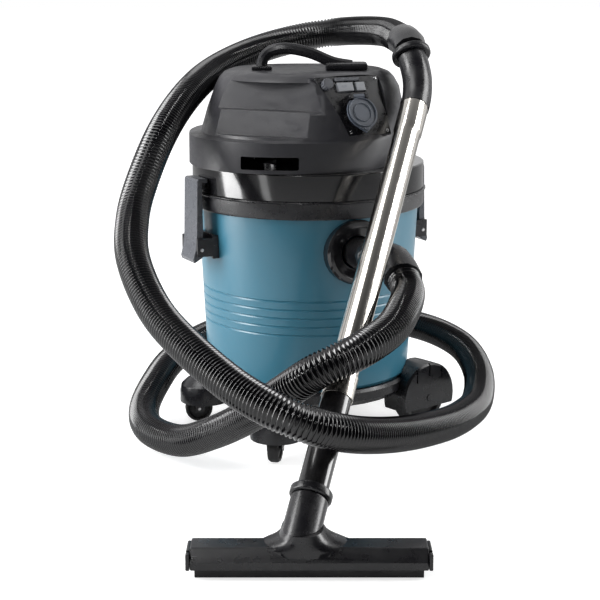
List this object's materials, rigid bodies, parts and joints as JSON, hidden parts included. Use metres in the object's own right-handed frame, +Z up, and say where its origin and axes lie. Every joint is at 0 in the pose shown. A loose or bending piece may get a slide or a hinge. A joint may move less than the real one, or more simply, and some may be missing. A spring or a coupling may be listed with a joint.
{
  "type": "shop vacuum",
  "caption": "Wheeled wet and dry vacuum: round tank under a latched motor head, ribbed hose looped round it, bent grip, chrome wand and wide floor nozzle.",
  "frame": {"origin": "on the floor, in the middle of the footprint measured without the hose", "axes": "+Z up, -Y towards the nozzle, +X to the right seen from the nozzle"},
  "size_m": [0.5539, 0.9139, 0.6088],
  "materials": {
    "cover_charcoal": "fine spark-eroded grain",
    "filter_media": "pleated",
    "flap_grey": "satin",
    "gloss_black": "polished",
    "hose_black": "ribbed, semi-gloss",
    "lever_grey": "satin",
    "rubber": "moulded",
    "satin_black": "satin",
    "steel": "plain",
    "switch_grey": "satin",
    "tank_teal": "semi-gloss moulded",
    "wand_chrome": "polished"
  },
  "bodies": {
    "vacuum": {"tank": "tank_teal", "tank_rim": "satin_black", "head_seal": "rubber", "motor_deck": "gloss_black", "head_cover": "cover_charcoal", "exhaust_grille": "satin_black", "cable_gland": "rubber", "control_panel": "satin_black", "socket_body": "satin_black", "flap_pin": "steel", "carry_handle": "satin_black", "latch_bracket_left": "satin_black", "latch_pin_left": "steel", "latch_catch_left": "satin_black", "latch_bracket_right": "satin_black", "latch_pin_right": "steel", "latch_catch_right": "satin_black", "inlet_flange": "gloss_black", "inlet_elbow": "gloss_black", "inlet_cuff": "satin_black", "suction_hose": "hose_black", "bent_grip": "satin_black", "grip_collar": "satin_black", "grip_cuff": "satin_black", "wand_upper": "wand_chrome", "wand_lower": "wand_chrome", "wand_joint_sleeve": "wand_chrome", "nozzle_body": "satin_black", "nozzle_cap_left": "satin_black", "nozzle_cap_right": "satin_black", "squeegee_front": "rubber", "squeegee_rear": "rubber", "nozzle_insert": "satin_black", "nozzle_neck": "satin_black", "nozzle_collar": "satin_black", "base": "satin_black", "axle_right": "steel", "axle_back": "steel", "fan_housing": "satin_black", "motor_can": "steel", "filter_cage": "satin_black", "filter_element": "filter_media"},
    "latch_left": {"latch_lever_left": "lever_grey"},
    "latch_right": {"latch_lever_right": "lever_grey"},
    "switch_power": {"switch_power": "switch_grey"},
    "switch_mode": {"switch_mode": "switch_grey"},
    "filter_button": {"filter_button": "lever_grey"},
    "speed_knob": {"speed_knob": "lever_grey"},
    "socket_flap": {"socket_flap": "flap_grey"},
    "caster_front": {"caster_fork_front": "satin_black", "caster_axle_front": "steel"},
    "caster_wheel_front": {"caster_wheel_front": "rubber"},
    "caster_left": {"caster_fork_left": "satin_black", "caster_axle_left": "steel"},
    "caster_wheel_left": {"caster_wheel_left": "rubber"},
    "wheel_right": {"wheel_right": "rubber"},
    "wheel_back": {"wheel_back": "rubber"},
    "rotor": {"impeller": "steel"},
    "float_ball": {"float_ball": "switch_grey"}
  },
  "joints": [
    {"name": "latch_left_hinge", "type": "hinge", "parent": "vacuum", "child": "latch_left", "pos_m": [-0.18138, 0.12352, 0.284], "axis": [0.454, -0.891, 0], "range_deg": [0, 70]},
    {"name": "latch_right_hinge", "type": "hinge", "parent": "vacuum", "child": "latch_right", "pos_m": [0.15364, 0.29423, 0.284], "axis": [-0.454, 0.891, 0], "range_deg": [0, 70]},
    {"name": "switch_power_rock", "type": "hinge", "parent": "vacuum", "child": "switch_power", "pos_m": [0.03687, 0.09259, 0.51953], "axis": [-0.2171, 0.3916, 0.8942], "range_deg": [-8, 8]},
    {"name": "switch_mode_rock", "type": "hinge", "parent": "vacuum", "child": "switch_mode", "pos_m": [0.05873, 0.10471, 0.51953], "axis": [-0.2171, 0.3916, 0.8942], "range_deg": [-8, 8]},
    {"name": "filter_button_press", "type": "slide", "parent": "vacuum", "child": "filter_button", "axis": [-0.4335, 0.782, -0.4478], "range_m": [0, 0.002], "stiffness_N_per_m": 300, "springref_m": -0.002},
    {"name": "speed_knob_turn", "type": "hinge", "parent": "vacuum", "child": "speed_knob", "pos_m": [0.01011, 0.07899, 0.52346], "axis": [0.4335, -0.782, 0.4478], "range_deg": [0, 270]},
    {"name": "socket_flap_hinge", "type": "hinge", "parent": "vacuum", "child": "socket_flap", "pos_m": [0.05638, 0.08215, 0.5083], "axis": [-0.8746, -0.4848, 0], "range_deg": [0, 100], "stiffness_Nm_per_rad": 0.01, "springref_deg": -20.05},
    {"name": "caster_front_swivel", "type": "hinge", "parent": "vacuum", "child": "caster_front", "pos_m": [-0.05887, -0.00613, 0.052], "axis": [0, 0, 1], "continuous": true},
    {"name": "caster_front_roll", "type": "hinge", "parent": "caster_front", "child": "caster_wheel_front", "pos_m": [-0.06082, -0.01542, 0.021], "axis": [0.9788, -0.2049, 0], "continuous": true},
    {"name": "caster_left_swivel", "type": "hinge", "parent": "vacuum", "child": "caster_left", "pos_m": [-0.17287, 0.18288, 0.052], "axis": [0, 0, 1], "continuous": true},
    {"name": "caster_left_roll", "type": "hinge", "parent": "caster_left", "child": "caster_wheel_left", "pos_m": [-0.18224, 0.18134, 0.021], "axis": [0.1614, -0.9869, 0], "continuous": true},
    {"name": "wheel_right_roll", "type": "hinge", "parent": "vacuum", "child": "wheel_right", "pos_m": [0.15665, 0.16951, 0.045], "axis": [0.6428, -0.766, 0], "continuous": true},
    {"name": "wheel_back_roll", "type": "hinge", "parent": "vacuum", "child": "wheel_back", "pos_m": [0.00442, 0.38292, 0.045], "axis": [0.6428, -0.766, 0], "continuous": true},
    {"name": "rotor_spin", "type": "hinge", "parent": "vacuum", "child": "rotor", "pos_m": [-0.01387, 0.20888, 0.4], "axis": [0, 0, 1], "continuous": true},
    {"name": "float_rise", "type": "slide", "parent": "vacuum", "child": "float_ball", "axis": [0, 0, 1], "range_m": [0, 0.04]}
  ]
}
